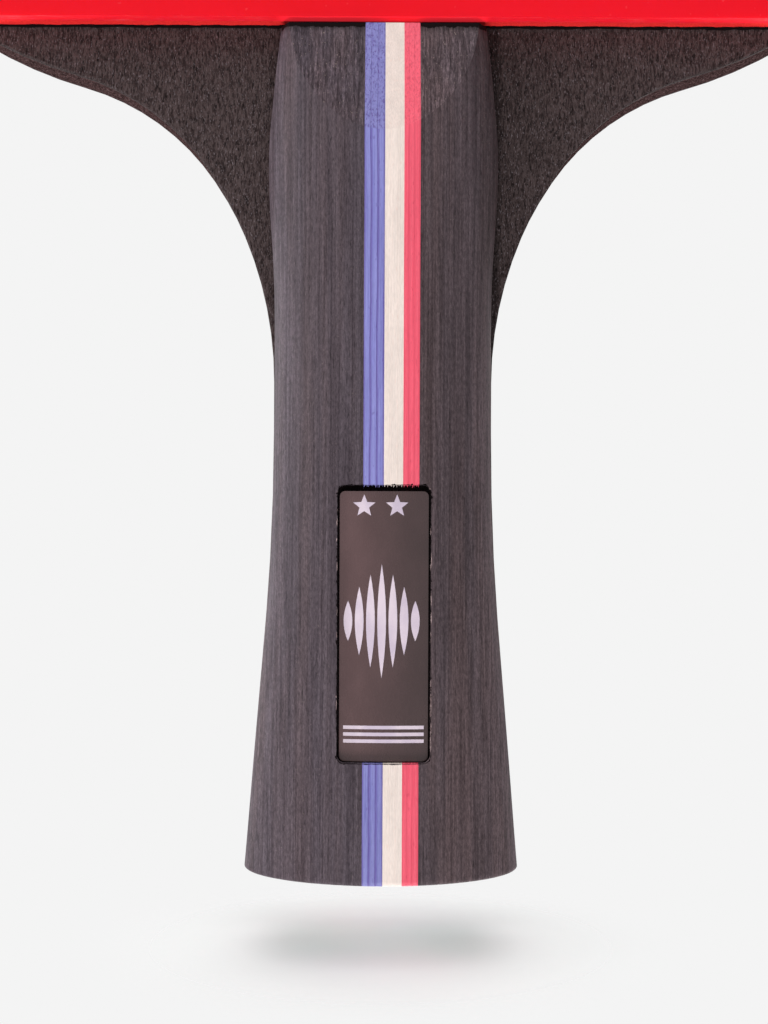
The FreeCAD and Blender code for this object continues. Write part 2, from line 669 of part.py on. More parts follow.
# Everything must have been made before anything is written.
for item in doc.Objects:
    if "Invalid" in item.State or "Error" in item.State:
        raise RuntimeError(f"{item.Name} failed")
for piece in pieces:
    shape = piece.Shape
    if shape.isNull() or not shape.isValid() or len(shape.Solids) != 1:
        raise RuntimeError(f"{piece.Label} is not one valid solid")

os.makedirs("parts", exist_ok=True)
for piece in pieces:
    piece.Shape.exportStep(f"parts/{piece.Label}.step")
print(len(pieces), "pieces written")
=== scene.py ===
import math
import random

import bmesh
import bpy
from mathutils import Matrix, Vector
from mathutils.bvhtree import BVHTree


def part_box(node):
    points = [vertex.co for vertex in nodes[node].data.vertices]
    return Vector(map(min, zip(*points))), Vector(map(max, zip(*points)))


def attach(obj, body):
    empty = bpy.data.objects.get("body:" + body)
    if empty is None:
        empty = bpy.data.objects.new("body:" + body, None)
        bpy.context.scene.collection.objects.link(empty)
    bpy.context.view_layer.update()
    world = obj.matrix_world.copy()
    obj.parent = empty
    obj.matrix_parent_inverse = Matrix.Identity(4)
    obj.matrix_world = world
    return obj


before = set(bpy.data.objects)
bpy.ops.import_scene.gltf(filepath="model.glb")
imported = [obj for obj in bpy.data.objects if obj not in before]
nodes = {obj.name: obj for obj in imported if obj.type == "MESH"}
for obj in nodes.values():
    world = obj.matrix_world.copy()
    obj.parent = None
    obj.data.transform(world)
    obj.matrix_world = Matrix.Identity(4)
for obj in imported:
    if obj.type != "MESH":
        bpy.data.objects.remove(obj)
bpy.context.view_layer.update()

MM = 0.001


def srgb(red, green, blue):
    """Linear colour with full alpha from values of 0 to 255."""
    linear = []
    for value in (red, green, blue):
        share = value / 255
        linear.append(share / 12.92 if share <= 0.04045 else ((share + 0.055) / 1.055) ** 2.4)
    return (*linear, 1.0)


# ---------------------------------------------------------------- node graphs

class Graph:
    """Node tree under construction. A value given to it is a socket or a constant."""

    def __init__(self, tree):
        self.tree = tree

    def node(self, kind, operation=None):
        node = self.tree.nodes.new(kind)
        if operation:
            node.operation = operation
        return node

    def put(self, value, socket):
        """Links a socket, or writes a constant."""
        if isinstance(value, bpy.types.NodeSocket):
            self.tree.links.new(value, socket)
        else:
            socket.default_value = value

    def math(self, operation, first, second=0.0):
        node = self.node("ShaderNodeMath", operation)
        self.put(first, node.inputs[0])
        self.put(second, node.inputs[1])
        return node.outputs[0]

    def product(self, first, *others):
        for other in others:
            first = self.math("MULTIPLY", first, other)
        return first

    def partly(self, factor, share):
        """That factor where share is 1, fading to a factor of 1 where share is 0."""
        return self.math("ADD", 1.0, self.product(share, self.math("SUBTRACT", factor, 1.0)))

    def ramp(self, value, low, high, start=0.0, end=1.0):
        """Smooth change from start to end while value goes from low to high."""
        node = self.node("ShaderNodeMapRange")
        node.interpolation_type = "SMOOTHSTEP"
        self.put(value, node.inputs["Value"])
        for name, number in (("From Min", low), ("From Max", high), ("To Min", start), ("To Max", end)):
            self.put(number, node.inputs[name])
        return node.outputs[0]

    def stretch(self, vector, factors, shift=(0, 0, 0)):
        """Vector times factors, plus shift."""
        node = self.node("ShaderNodeVectorMath", "MULTIPLY_ADD")
        self.put(vector, node.inputs[0])
        node.inputs[1].default_value = factors
        node.inputs[2].default_value = shift
        return node.outputs[0]

    def in_millimetres(self, vector):
        return self.stretch(vector, (1 / MM, 1 / MM, 1 / MM))

    def axis(self, vector, letter):
        node = self.node("ShaderNodeSeparateXYZ")
        self.put(vector, node.inputs[0])
        return node.outputs[letter]

    def size_along(self, vector, letter):
        """The vector's coordinate along an axis, without its sign."""
        return self.math("ABSOLUTE", self.axis(vector, letter))

    def blend(self, factor, first, second):
        """Colour between first and second. The node's inputs 6 and 7 and its output 2 are the colours."""
        node = self.node("ShaderNodeMix")
        node.data_type = "RGBA"
        self.put(factor, node.inputs[0])
        self.put(first, node.inputs[6])
        self.put(second, node.inputs[7])
        return node.outputs[2]

    def shade(self, colour, factor):
        """Colour times a number."""
        node = self.node("ShaderNodeVectorMath", "SCALE")
        self.put(colour, node.inputs[0])
        self.put(factor, node.inputs["Scale"])
        return node.outputs[0]

    def tint(self, colour, other):
        """Colour times another colour."""
        node = self.node("ShaderNodeVectorMath", "MULTIPLY")
        self.put(colour, node.inputs[0])
        self.put(other, node.inputs[1])
        return node.outputs[0]

    def mix_shaders(self, factor, first, second):
        node = self.node("ShaderNodeMixShader")
        self.put(factor, node.inputs[0])
        self.put(first, node.inputs[1])
        self.put(second, node.inputs[2])
        return node.outputs[0]

    def seen_directly(self):
        """1 for rays from the camera, and for mirrored rays and rays let through, else 0."""
        path = self.node("ShaderNodeLightPath")
        mirrored = self.math("MAXIMUM", path.outputs["Is Glossy Ray"], path.outputs["Is Transmission Ray"])
        return self.math("MAXIMUM", path.outputs["Is Camera Ray"], mirrored)


# ---------------------------------------------------------------- camera, light and floor

blade_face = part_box("front_outer_ply")[0].y
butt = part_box("blade_core")[0].z

CAMERA_ASIDE = 0.22 * MM
CAMERA_DISTANCE = 175.0 * MM
CAMERA_HEIGHT = 42.5 * MM
CAMERA_ROLL = math.radians(-0.23)
PALE = srgb(244, 244, 244)
WORLD_COLOUR = (1.0, 0.99, 0.985, 1.0)
WORLD_STRENGTH = 0.36
LIT_PLACE = Vector((0, 0, 0.08))


def make_camera():
    """Camera close in front of the handle, level with it."""
    data = bpy.data.cameras.new("camera")
    data.lens = 51.6
    data.sensor_width = 36.0
    data.clip_start = 0.01
    camera = bpy.data.objects.new("camera", data)
    camera.location = (CAMERA_ASIDE, blade_face - CAMERA_DISTANCE, CAMERA_HEIGHT)
    camera.rotation_euler = (math.radians(90), CAMERA_ROLL, 0)
    bpy.context.scene.collection.objects.link(camera)
    bpy.context.scene.camera = camera
    bpy.context.scene.view_settings.view_transform = "Standard"


def make_world():
    """Even light all round, with a pale background behind the object."""
    world = bpy.data.worlds.new("studio")
    bpy.context.scene.world = world
    world.use_nodes = True
    graph = Graph(world.node_tree)
    graph.tree.nodes.clear()
    light = graph.node("ShaderNodeBackground")
    light.inputs["Color"].default_value = WORLD_COLOUR
    light.inputs["Strength"].default_value = WORLD_STRENGTH
    pale = graph.node("ShaderNodeBackground")
    pale.inputs["Color"].default_value = PALE
    surround = graph.mix_shaders(graph.seen_directly(), light.outputs[0], pale.outputs[0])
    graph.put(surround, graph.node("ShaderNodeOutputWorld").inputs[0])


def make_soft_box(name, place, size, power, length=None):
    """Area light turned towards the handle, square unless a length is given."""
    data = bpy.data.lights.new(name, "AREA")
    data.shape = "RECTANGLE"
    data.size = size
    data.size_y = length or size
    data.energy = power
    light = bpy.data.objects.new(name, data)
    light.location = place
    aim = LIT_PLACE - Vector(place)
    light.rotation_euler = aim.to_track_quat("-Z", "Y").to_euler()
    light.visible_camera = False
    bpy.context.scene.collection.objects.link(light)


make_camera()
make_world()
make_soft_box("key_left", (-1.16, -0.22, 0.25), size=0.6, power=10.5)
make_soft_box("rim_left", (-1.15, 0.75, 0.15), size=0.5, power=4.0)
make_soft_box("low_front", (-0.10, -0.90, -1.20), size=0.8, power=19.0)
make_soft_box("low_back", (0.10, 0.90, -1.20), size=0.8, power=19.0)
make_soft_box("key_back", (0.20, 1.20, 0.30), size=0.8, power=5.0)
make_soft_box("top", (0.0, 0.0, 1.30), size=1.3, power=15.0, length=2.4)

FLOOR_DROP = 9.7 * MM
FLOOR_RADIUS = 0.6
FLOOR_TINT = (0.993, 1.007, 1.0)
SHADOW_SETBACK = 1.5
GLOW = 0.285
GLOW_LOST_IN_SHADOW = 0.11
COOL_PALE = (0.78 * PALE[0], 0.95 * PALE[1], 0.89 * PALE[2], 1.0)


def make_floor():
    """
    Pale floor that fades into the background away from the object, with a soft shadow under the butt.
    What the lights give it is raised by a glow that lights nothing: cooler in the middle of the shadow,
    and weaker round it, which makes the shadow wider. Lengths are in millimetres.
    """
    bpy.ops.mesh.primitive_circle_add(vertices=96, radius=FLOOR_RADIUS, fill_type="TRIFAN")
    floor = bpy.context.object
    floor.name = "floor"
    floor.location = (0, 0, butt - FLOOR_DROP)
    material = bpy.data.materials.new("floor")
    material.use_nodes = True
    graph = Graph(material.node_tree)
    graph.tree.nodes.clear()
    place = graph.in_millimetres(graph.node("ShaderNodeTexCoord").outputs["Object"])
    depth = graph.axis(place, "Y")
    aside = graph.size_along(place, "X")
    along = graph.math("ABSOLUTE", graph.math("SUBTRACT", depth, SHADOW_SETBACK))

    paint = graph.node("ShaderNodeBsdfDiffuse")
    tone = graph.ramp(aside, 8.0, 26.0, 0.69, 0.66)
    graph.put(graph.shade(FLOOR_TINT, tone), paint.inputs["Color"])

    painted_glow = graph.node("ShaderNodeEmission")
    middle = graph.product(graph.ramp(aside, 6.0, 17.0, 1.0, 0.0), graph.ramp(along, 3.0, 12.0, 1.0, 0.0))
    graph.put(graph.blend(middle, PALE, COOL_PALE), painted_glow.inputs["Color"])
    edge = graph.product(
        graph.ramp(along, 2.0, 10.0),
        graph.ramp(along, 11.0, 21.0, 1.0, 0.0),
        graph.ramp(aside, 12.0, 26.0, 1.0, 0.0),
        graph.ramp(depth, -9.0, 6.0, 0.5, 1.0),
    )
    strength = graph.math("SUBTRACT", GLOW, graph.product(edge, GLOW_LOST_IN_SHADOW))
    graph.put(graph.product(strength, graph.seen_directly()), painted_glow.inputs["Strength"])

    surface = graph.node("ShaderNodeAddShader")
    graph.put(paint.outputs[0], surface.inputs[0])
    graph.put(painted_glow.outputs[0], surface.inputs[1])
    reach = graph.node("ShaderNodeVectorMath", "LENGTH")
    graph.put(graph.stretch(place, (0.8, 1.0, 1.0)), reach.inputs[0])
    shown = graph.ramp(reach.outputs["Value"], 10.0, 30.0, 1.0, 0.0)
    clear = graph.node("ShaderNodeBsdfTransparent")
    faded = graph.mix_shaders(shown, clear.outputs[0], surface.outputs[0])
    graph.put(faded, graph.node("ShaderNodeOutputMaterial").inputs[0])
    floor.data.materials.append(material)
    floor.visible_shadow = False


make_floor()


# ---------------------------------------------------------------- materials

class Finish(Graph):
    """Material of a piece. Its place socket is the surface point in millimetres."""

    def __init__(self, name, specular):
        self.material = bpy.data.materials.new(name)
        self.material.use_nodes = True
        super().__init__(self.material.node_tree)
        self.shader = self.tree.nodes["Principled BSDF"]
        self.shader.inputs["Specular IOR Level"].default_value = specular
        where = self.node("ShaderNodeTexCoord")
        self.place = self.in_millimetres(where.outputs["Object"])
        self.facing = where.outputs["Normal"]

    def noise(self, factors, shift, detail, rough, distortion=0.0):
        """Noise from 0 to 1, with factors as its cells per millimetre along each axis."""
        node = self.node("ShaderNodeTexNoise")
        self.put(self.stretch(self.place, factors, shift), node.inputs["Vector"])
        node.inputs["Scale"].default_value = 1.0
        node.inputs["Detail"].default_value = detail
        node.inputs["Roughness"].default_value = rough
        node.inputs["Distortion"].default_value = distortion
        return node.outputs[0]

    def on_bevel(self):
        """1 on the grip's sawn bevel, which faces upwards, and 0 on its straight faces."""
        return self.ramp(self.axis(self.facing, "Z"), 0.12, 0.30)

    def colour(self, value):
        self.put(value, self.shader.inputs["Base Color"])

    def roughness(self, value):
        self.put(value, self.shader.inputs["Roughness"])

    def bump(self, height, depth):
        """Relief of that depth in millimetres where height goes from 0 to 1."""
        node = self.node("ShaderNodeBump")
        node.inputs["Distance"].default_value = depth * MM
        self.put(height, node.inputs["Height"])
        if self.shader.inputs["Normal"].is_linked:
            before = self.shader.inputs["Normal"].links[0].from_socket
            self.tree.links.new(before, node.inputs["Normal"])
        self.tree.links.new(node.outputs[0], self.shader.inputs["Normal"])


grip_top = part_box("front_grip_left_block")[1].z
GLINT = srgb(176, 158, 150)
BLADE_GLINT = srgb(136, 126, 132)


def grip_wood(name, dark, light, bevel_tone, flank_light, seed):
    """
    Dark-stained, oiled hardwood with long fine grain, short pores and a rougher sawn bevel.
    Painted light and shade change the tone of the flanks, where they face aside: two heights in millimetres,
    then the tone at each. The bevel tone is the sawn bevel's lighter tone, raised on the left block as
    painted light.
    The wood is lighter towards the butt, and the last of the upper end is dark with painted shade under the
    rubber.
    """
    finish = Finish(name, specular=0.08)
    shift = (seed * 7.3, seed * 3.1, seed * 11.7)
    lines = finish.noise((3.4, 1.0, 0.045), shift, 3.0, 0.75)
    bands = finish.noise((0.40, 0.40, 0.012), shift, 2.0, 0.5)
    fibres = finish.noise((6.0, 1.6, 1.9), shift, 4.0, 0.75)
    pores = finish.noise((5.5, 1.4, 0.60), shift, 2.0, 0.6)
    specks = finish.noise((7.0, 2.0, 4.0), shift, 0.0, 0.5)
    torn = finish.noise((5.0, 2.0, 1.3), shift, 3.0, 0.7)
    scores = finish.noise((3.8, 0.3, 0.09), shift, 3.0, 0.75)
    bevel = finish.on_bevel()
    height = finish.axis(finish.place, "Z")

    tone = finish.math("ADD", finish.product(lines, 0.85), finish.product(bands, 0.15))
    stain = finish.blend(finish.ramp(tone, 0.34, 0.66), dark, light)
    brown = finish.blend(finish.ramp(bands, 0.35, 0.70), (1.0, 1.0, 1.0, 1), (1.02, 0.95, 0.90, 1))
    grain = finish.ramp(fibres, 0.33, 0.67, 0.68, 1.32)
    rough_cut = finish.product(
        finish.ramp(torn, 0.34, 0.66, 0.75, 1.27), finish.ramp(scores, 0.40, 0.60, 0.73, 1.27))
    pits = finish.ramp(pores, 0.58, 0.72, 1.0, 0.55)
    texture = finish.product(grain, finish.partly(rough_cut, bevel), pits)

    # Lighter towards the butt; painted shade under the rubber at the upper end.
    lighter_low = finish.ramp(height, 2.0, 50.0, 1.12, 1.0)
    painted_shade_at_top = finish.ramp(height, grip_top / MM - 1.4, grip_top / MM - 0.4, 1.0, 0.50)
    # Painted light and shade on the flanks, changing with height.
    on_flank = finish.ramp(finish.size_along(finish.facing, "X"), 0.50, 0.85)
    varied = finish.partly(finish.ramp(height, *flank_light), on_flank)
    on_cut = finish.ramp(bevel, 0.0, 1.0, 1.0, bevel_tone)
    tone_and_painted_light = finish.product(lighter_low, painted_shade_at_top, varied, on_cut)

    colour = finish.shade(finish.shade(finish.tint(stain, brown), texture), tone_and_painted_light)
    glints = finish.product(finish.ramp(specks, 0.74, 0.82), finish.ramp(bevel, 0.0, 1.0, 0.10, 0.40))
    finish.colour(finish.blend(glints, colour, GLINT))
    dull = finish.ramp(fibres, 0.2, 0.8, 0.42, 0.60)
    finish.roughness(finish.math("ADD", dull, finish.product(bevel, 0.22)))
    finish.bump(lines, 0.02)
    finish.bump(fibres, 0.03)
    finish.bump(finish.product(pores, finish.ramp(bevel, 0.0, 1.0, -1.0, -2.5)), 0.03)
    return finish.material


GRIP_SHADOW_CORNER_REACH = (13.3, 14.3)
GRIP_SHADOW_WING_REACH = (14.0, 24.0)


def blade_wood(name, dark, light, seed, painted_grip_shadow):
    """
    Dark-stained face veneer with short, open fibres, with painted shade where it turns over its edge.
    One with the grip's painted shadow is also darker right of the grip, most of all in the corner beside it.
    Both reaches are places across the handle in millimetres, where that painted shadow starts to thin and
    where it has gone.
    """
    finish = Finish(name, specular=0.05)
    shift = (seed * 5.9, seed * 8.3, seed * 2.7)
    fibres = finish.noise((6.0, 6.0, 2.2), shift, 4.0, 0.78, 0.2)
    cells = finish.noise((4.0, 4.0, 1.0), shift, 2.0, 0.6)
    bands = finish.noise((0.22, 0.22, 0.02), shift, 2.0, 0.5)
    pores = finish.noise((5.6, 5.6, 1.6), shift, 1.0, 0.5)
    specks = finish.noise((8.0, 8.0, 3.2), shift, 1.0, 0.5)
    tone = finish.math("ADD", finish.product(fibres, 0.6), finish.product(cells, 0.4))
    colour = finish.blend(finish.ramp(tone, 0.38, 0.62), dark, light)
    pits = finish.ramp(pores, 0.58, 0.70, 1.0, 0.30)
    wide = finish.ramp(bands, 0.3, 0.7, 0.985, 1.015)
    # Painted shade where the face turns over its edge, with fewer glints there.
    turned = finish.ramp(finish.size_along(finish.facing, "Y"), 0.30, 0.90, 0.50, 1.0)
    colour = finish.shade(colour, finish.product(turned, pits, wide))
    # Painted shadow of the grip on the wing to its right, deepest in the corner beside it.
    if painted_grip_shadow:
        across = finish.axis(finish.place, "X")
        corner = finish.ramp(across, *GRIP_SHADOW_CORNER_REACH, 0.55, 1.0)
        right_side = finish.ramp(across, *GRIP_SHADOW_WING_REACH, 0.80, 1.0)
        left_side = finish.ramp(across, 0.0, 1.0, 1.0, 0.0)
        colour = finish.shade(colour, finish.math("MAXIMUM", finish.product(corner, right_side), left_side))
    glints = finish.product(finish.ramp(specks, 0.60, 0.78, 0.0, 0.52), turned)
    finish.colour(finish.blend(glints, colour, BLADE_GLINT))
    finish.roughness(finish.ramp(fibres, 0.2, 0.8, 0.50, 0.72))
    finish.bump(tone, 0.06)
    finish.bump(finish.product(pores, -1.0), 0.05)
    return finish.material


def ply_wood(name, dark, light, seed, along):
    """Edge of a ply: fine layers and fibres along the blade's outline or across it."""
    finish = Finish(name, specular=0.0)
    shift = (seed * 4.1, seed * 6.7, seed * 9.9)
    factors = (2.4, 4.0, 2.4) if along else (5.0, 2.6, 5.0)
    layers = finish.noise(factors, shift, 4.0, 0.78)
    pores = finish.noise((4.5, 2.5, 4.5), shift, 1.0, 0.5)
    specks = finish.noise((5.0, 3.0, 5.0), shift, 1.0, 0.5)
    colour = finish.blend(finish.ramp(layers, 0.38, 0.62), dark, light)
    colour = finish.shade(colour, finish.ramp(pores, 0.56, 0.70, 1.0, 0.35))
    finish.colour(finish.blend(finish.ramp(specks, 0.62, 0.80, 0.0, 0.35), colour, BLADE_GLINT))
    finish.roughness(finish.ramp(layers, 0.2, 0.8, 0.70, 0.88))
    finish.bump(layers, 0.04)
    return finish.material


def veneer_wood(name, left, thickness, seed, base, deep, joint, joint_depth, torn_depth, foot):
    """
    Stained veneers side by side, with the glue line at each joint and grain along the handle.
    They start at left and are each of that thickness, in millimetres. Foot is their tone at the butt,
    a painted shade that darkens them towards it.
    """
    finish = Finish(name, specular=0.3)
    shift = (seed * 6.1, seed * 2.3, seed * 4.7)
    wander = finish.noise((0.15, 0.15, 0.055), shift, 3.0, 0.6)
    across = finish.math("SUBTRACT", finish.axis(finish.place, "X"), left)
    across = finish.math("ADD", across, finish.ramp(wander, 0.2, 0.8, -0.10, 0.10))
    share = finish.math("FRACT", finish.math("ADD", finish.math("DIVIDE", across, thickness), 4.0))
    from_joint = finish.product(finish.math("PINGPONG", share, 0.5), thickness)
    lines = finish.noise((7.0, 7.0, 0.10), shift, 3.0, 0.6)
    fibres = finish.noise((9.0, 9.0, 1.3), shift, 2.0, 0.6)
    patches = finish.noise((1.2, 1.2, 0.12), shift, 2.0, 0.5)
    pores = finish.noise((7.0, 7.0, 1.5), shift, 0.0, 0.5)
    colour = finish.blend(finish.ramp(lines, 0.35, 0.75), base, deep)
    colour = finish.shade(colour, finish.ramp(fibres, 0.25, 0.75, 0.92, 1.06))
    colour = finish.shade(colour, finish.ramp(patches, 0.3, 0.7, 0.95, 1.04))
    # Painted shade, darker towards the butt.
    colour = finish.shade(colour, finish.ramp(finish.axis(finish.place, "Z"), 4.0, 40.0, foot, 1.0))
    line = finish.ramp(from_joint, 0.02, 0.22, joint_depth, 0.0)
    broken = finish.ramp(fibres, 0.2, 0.6, 0.5, 1.0)
    bevel = finish.on_bevel()
    fainter = finish.ramp(bevel, 0.0, 1.0, 1.0, 0.45)
    colour = finish.blend(finish.product(line, fainter, broken), colour, joint)
    colour = finish.blend(finish.ramp(pores, 0.72, 0.82, 0.0, 0.35), colour, joint)
    torn = finish.noise((5.0, 5.0, 2.0), shift, 2.0, 0.6)
    nicks = finish.product(finish.ramp(torn, 0.52, 0.68, 0.0, torn_depth), bevel)
    lifted = finish.product(finish.ramp(torn, 0.48, 0.32, 0.0, torn_depth), bevel)
    colour = finish.blend(nicks, colour, joint)
    finish.colour(finish.blend(lifted, colour, base))
    finish.roughness(finish.ramp(fibres, 0.2, 0.8, 0.45, 0.62))
    finish.bump(lines, 0.03)
    finish.bump(finish.ramp(from_joint, 0.0, 0.10), 0.04 * joint_depth)
    return finish.material


PIP_PITCH = 1.75


def rubber(name, colour, deep, dust_and_highlight, seed, painted_glow=None):
    """
    Smooth, slightly tacky top sheet over its hidden pips, with a cut, drawn edge.
    With a glow the sheet is translucent, and its lower cut edge gives off the glow's colour as painted light,
    most of all over the grip, where that edge lies in shade.
    """
    finish = Finish(name, specular=0.16)
    shift = (seed * 3.3, seed * 5.1, seed * 7.7)
    fine = finish.noise((2.5, 2.5, 2.5), shift, 3.0, 0.6)
    cloud = finish.noise((0.035, 0.035, 0.035), shift, 3.0, 0.55)
    drawn = finish.noise((0.25, 5.0, 4.0), shift, 3.0, 0.6)
    specks = finish.noise((1.6, 1.6, 1.6), shift, 0.0, 0.5)
    x = finish.axis(finish.place, "X")
    z = finish.axis(finish.place, "Z")
    radians_per_millimetre = 2 * math.pi / PIP_PITCH
    pips = 0.0
    for turn in (0, 60, 120):
        along = finish.product(x, radians_per_millimetre * math.cos(math.radians(turn)))
        up = finish.product(z, radians_per_millimetre * math.sin(math.radians(turn)))
        pips = finish.math("ADD", finish.math("COSINE", finish.math("ADD", along, up)), pips)
    pips = finish.ramp(pips, 0.0, 2.4)
    down = finish.axis(finish.facing, "Z")
    edge = finish.ramp(down, -0.8, -0.4, 1.0, 0.0)
    # Painted highlight along the lip of the cut edge, in the pale colour of the dust specks.
    lip_highlight = finish.product(finish.ramp(down, -0.40, -0.12, 1.0, 0.0), finish.ramp(down, -0.97, -0.75))
    paint = finish.blend(finish.ramp(cloud, 0.35, 0.70), colour, deep)
    streaks = finish.product(finish.ramp(drawn, 0.50, 0.75, 0.0, 0.45), edge)
    paint = finish.blend(finish.math("MAXIMUM", streaks, finish.product(lip_highlight, 0.55)), paint, dust_and_highlight)
    finish.colour(finish.blend(finish.ramp(specks, 0.78, 0.86, 0.0, 0.25), paint, dust_and_highlight))
    base = finish.ramp(fine, 0.2, 0.8, 0.50, 0.60)
    varied = finish.ramp(cloud, 0.3, 0.7, -0.06, 0.06)
    gloss = finish.math("SUBTRACT", finish.math("ADD", base, varied), finish.product(pips, 0.05))
    finish.roughness(finish.math("ADD", gloss, finish.product(edge, 0.15)))
    finish.bump(fine, 0.012)
    finish.bump(pips, 0.010)
    finish.bump(finish.product(drawn, edge), 0.08)
    if painted_glow:
        finish.shader.inputs["Subsurface Weight"].default_value = 0.4
        finish.shader.inputs["Subsurface Radius"].default_value = (1.0, 0.15, 0.10)
        finish.shader.inputs["Subsurface Scale"].default_value = 1.5 * MM
        # Painted light: the downward cut edge glows, most of all over the grip, where it lies in shade.
        aside = finish.math("ABSOLUTE", finish.math("ADD", x, 0.1))
        over_grip = finish.ramp(aside, 11.6, 12.8, 1.0, 0.34)
        on_edge = finish.ramp(down, -0.7, -0.2, 1.0, 0.0)
        finish.shader.inputs["Emission Color"].default_value = painted_glow
        finish.put(finish.product(on_edge, over_grip, 0.53), finish.shader.inputs["Emission Strength"])
    return finish.material


def sponge_foam(name, colour, deep, seed):
    """Cut sponge: open cells and drawn streaks along the cut."""
    finish = Finish(name, specular=0.15)
    shift = (seed * 2.9, seed * 4.3, seed * 8.1)
    cells = finish.noise((5.5, 7.0, 7.0), shift, 2.0, 0.6)
    drawn = finish.noise((0.5, 6.0, 6.0), shift, 3.0, 0.6)
    finish.colour(finish.blend(finish.ramp(cells, 0.35, 0.70), colour, deep))
    finish.roughness(finish.ramp(cells, 0.2, 0.8, 0.75, 0.92))
    finish.bump(cells, 0.10)
    finish.bump(drawn, 0.06)
    return finish.material


HEAD_MIDDLE = 180.0
THREADS_PER_TURN = 900
THREAD_PITCH = 0.42


def tape_fabric(name):
    """Black edge tape in a fine plain weave that follows the head round, with rubbed rims."""
    finish = Finish(name, specular=0.3)
    x = finish.axis(finish.place, "X")
    y = finish.axis(finish.place, "Y")
    z = finish.axis(finish.place, "Z")
    angle = finish.math("ARCTAN2", x, finish.math("SUBTRACT", z, HEAD_MIDDLE))
    threads = finish.math("SINE", finish.product(angle, THREADS_PER_TURN))
    rows = finish.math("SINE", finish.product(y, 2 * math.pi / THREAD_PITCH))
    weave = finish.product(threads, rows)
    fuzz = finish.noise((3.0, 3.0, 3.0), (4.0, 2.0, 9.0), 3.0, 0.6)
    rim = finish.ramp(finish.math("ABSOLUTE", y), 3.9, 4.9)
    colour = finish.blend(finish.ramp(weave, -1.0, 1.0), srgb(22, 21, 23), srgb(44, 42, 45))
    colour = finish.shade(colour, finish.ramp(fuzz, 0.25, 0.75, 0.82, 1.18))
    finish.colour(finish.blend(finish.product(rim, 0.35), colour, srgb(74, 71, 74)))
    finish.roughness(finish.ramp(fuzz, 0.2, 0.8, 0.55, 0.78))
    finish.bump(weave, 0.03)
    finish.bump(fuzz, 0.02)
    return finish.material


def badge_plastic(name):
    """Smoked, glossy plate with hairline scratches and handling haze, paler at its left with painted light.
    """
    finish = Finish(name, specular=0.5)
    haze = finish.noise((0.22, 0.22, 0.14), (3.0, 1.0, 5.0), 3.0, 0.55)
    hairs = finish.noise((2.4, 2.4, 1.1), (9.0, 4.0, 2.0), 3.0, 0.6, 0.6)
    colour = finish.blend(finish.ramp(haze, 0.35, 0.68), srgb(80, 58, 59), srgb(71, 50, 51))
    # Painted light from the left: paler at the left, darker at the right.
    painted_light_left = finish.ramp(finish.axis(finish.place, "X"), -6.0, 6.5, 1.38, 0.61)
    finish.colour(finish.shade(colour, painted_light_left))
    finish.roughness(finish.ramp(hairs, 0.35, 0.75, 0.24, 0.34))
    finish.bump(hairs, 0.002)
    finish.bump(haze, 0.02)
    return finish.material


def print_foil(name):
    """Pale lavender-silver print with a slight change of tone and tiny pinholes."""
    finish = Finish(name, specular=0.4)
    tone = finish.noise((0.35, 0.35, 0.20), (2.0, 6.0, 1.0), 2.0, 0.5)
    grain = finish.noise((12.0, 12.0, 12.0), (1.0, 3.0, 8.0), 1.0, 0.5)
    colour = finish.blend(finish.ramp(tone, 0.35, 0.65), srgb(226, 210, 222), srgb(205, 190, 208))
    finish.colour(finish.shade(colour, finish.ramp(grain, 0.25, 0.75, 0.96, 1.04)))
    finish.roughness(finish.ramp(grain, 0.2, 0.8, 0.38, 0.52))
    finish.bump(grain, 0.004)
    return finish.material


def glue_and_painted_shade(name):
    """Dark, uneven line of glue, char and painted shadow in a corner."""
    finish = Finish(name, specular=0.05)
    lumps = finish.noise((2.4, 2.4, 2.4), (7.0, 7.0, 1.0), 3.0, 0.6)
    finish.colour(finish.blend(finish.ramp(lumps, 0.3, 0.7), srgb(7, 4, 5), srgb(20, 12, 13)))
    finish.roughness(finish.ramp(lumps, 0.2, 0.8, 0.6, 0.85))
    finish.bump(lumps, 0.05)
    return finish.material


def raw_wood(name):
    """Pale wood showing where the stain is rubbed or torn off; on the recess slivers, also a painted
    highlight.
    """
    finish = Finish(name, specular=0.2)
    grain = finish.noise((8.0, 8.0, 3.0), (2.0, 5.0, 3.0), 2.0, 0.6)
    finish.colour(finish.blend(finish.ramp(grain, 0.3, 0.7), srgb(196, 172, 172), srgb(120, 98, 98)))
    finish.roughness(finish.ramp(grain, 0.2, 0.8, 0.6, 0.8))
    finish.bump(grain, 0.02)
    return finish.material


def dress(name, material):
    """Gives a CAD node its finish."""
    for slot in nodes[name].material_slots:
        slot.material = material


FACE_DARK = srgb(43, 34, 34)
FACE_LIGHT = srgb(83, 71, 71)
stained = {
    "front": blade_wood("stained_face_front", FACE_DARK, FACE_LIGHT, seed=1.0, painted_grip_shadow=True),
    "back": blade_wood("stained_face_back", FACE_DARK, FACE_LIGHT, seed=2.0, painted_grip_shadow=False),
}
core = ply_wood("core_edge", srgb(16, 11, 11), srgb(86, 65, 65), seed=3.0, along=False)
inner_long = ply_wood("inner_edge_along", srgb(14, 10, 10), srgb(76, 57, 57), seed=4.0, along=True)
inner_cross = ply_wood("inner_edge_across", srgb(17, 12, 12), srgb(88, 67, 67), seed=5.0, along=False)

dress("blade_core", core)
for face, stain in stained.items():
    dress(f"{face}_outer_ply", stain)
    dress(f"{face}_second_ply", inner_cross)
    dress(f"{face}_third_ply", inner_long)

